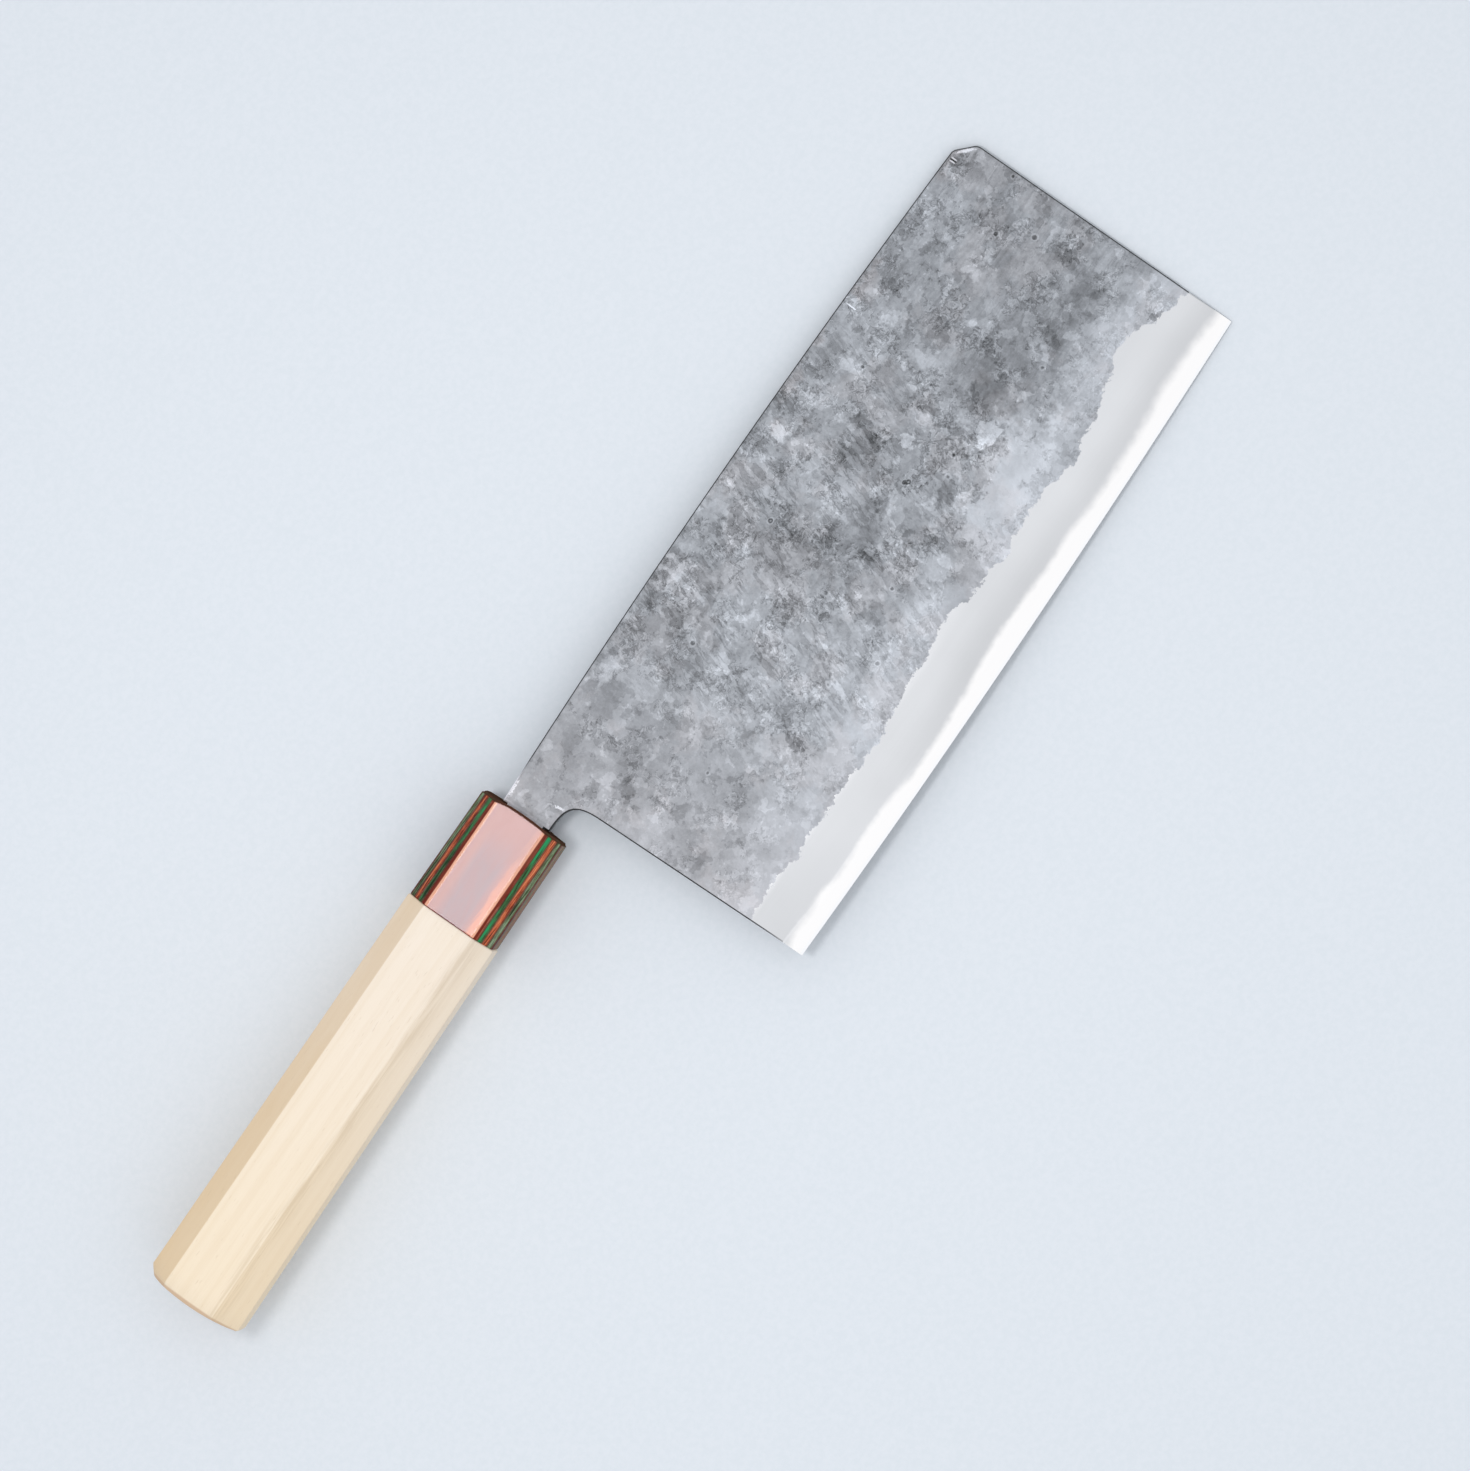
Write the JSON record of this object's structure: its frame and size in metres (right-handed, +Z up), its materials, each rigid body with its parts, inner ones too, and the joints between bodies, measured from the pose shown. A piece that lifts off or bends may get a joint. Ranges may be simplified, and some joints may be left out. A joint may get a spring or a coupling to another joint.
{
  "type": "nakiri knife",
  "caption": "Tall rectangular kitchen knife: laminated blade with a forge-dark face and bright bevel, dyed-veneer ferrule and octagonal wooden handle.",
  "frame": {"origin": "on the surface the knife lies on, below the middle of its bounding box", "axes": "+X along the handle from its butt to the blade's tip, +Y towards the spine and away from the edge, +Z up, out of the blade's right face; the knife leans about 2.6 degrees, as it does when it lies on its ferrule and its front"},
  "size_m": [0.3306, 0.0858, 0.0268],
  "materials": {
    "core_steel": "hard steel, ground and polished at the edge",
    "forged_iron": "soft iron, left with its grey forge scale on the flat and ground satin on the bevel",
    "red_veneer": "dyed red, resin filled, polished",
    "green_veneer": "dyed green, resin filled, polished",
    "pale_wood": "bare pale wood, finely sanded, straight grain along the handle",
    "bedding_resin": "set resin"
  },
  "bodies": {
    "root": {"core_steel": "core_steel", "right_cladding": "forged_iron", "left_cladding": "forged_iron", "ferrule_veneer_01_red": "red_veneer", "ferrule_veneer_02_green": "green_veneer", "ferrule_veneer_03_red": "red_veneer", "ferrule_veneer_04_green": "green_veneer", "ferrule_veneer_05_red": "red_veneer", "ferrule_veneer_06_green": "green_veneer", "ferrule_veneer_07_red": "red_veneer", "ferrule_veneer_08_green_spine_strip": "green_veneer", "ferrule_veneer_08_green_edge_strip": "green_veneer", "ferrule_veneer_09_red_spine_strip": "red_veneer", "ferrule_veneer_09_red_edge_strip": "red_veneer", "ferrule_veneer_10_green_spine_strip": "green_veneer", "ferrule_veneer_10_green_edge_strip": "green_veneer", "ferrule_veneer_11_red": "red_veneer", "ferrule_veneer_12_green": "green_veneer", "ferrule_veneer_13_red": "red_veneer", "ferrule_veneer_14_green": "green_veneer", "ferrule_veneer_15_red": "red_veneer", "ferrule_veneer_16_green": "green_veneer", "ferrule_veneer_17_red": "red_veneer", "handle": "pale_wood", "tang_bedding": "bedding_resin"}
  },
  "joints": []
}
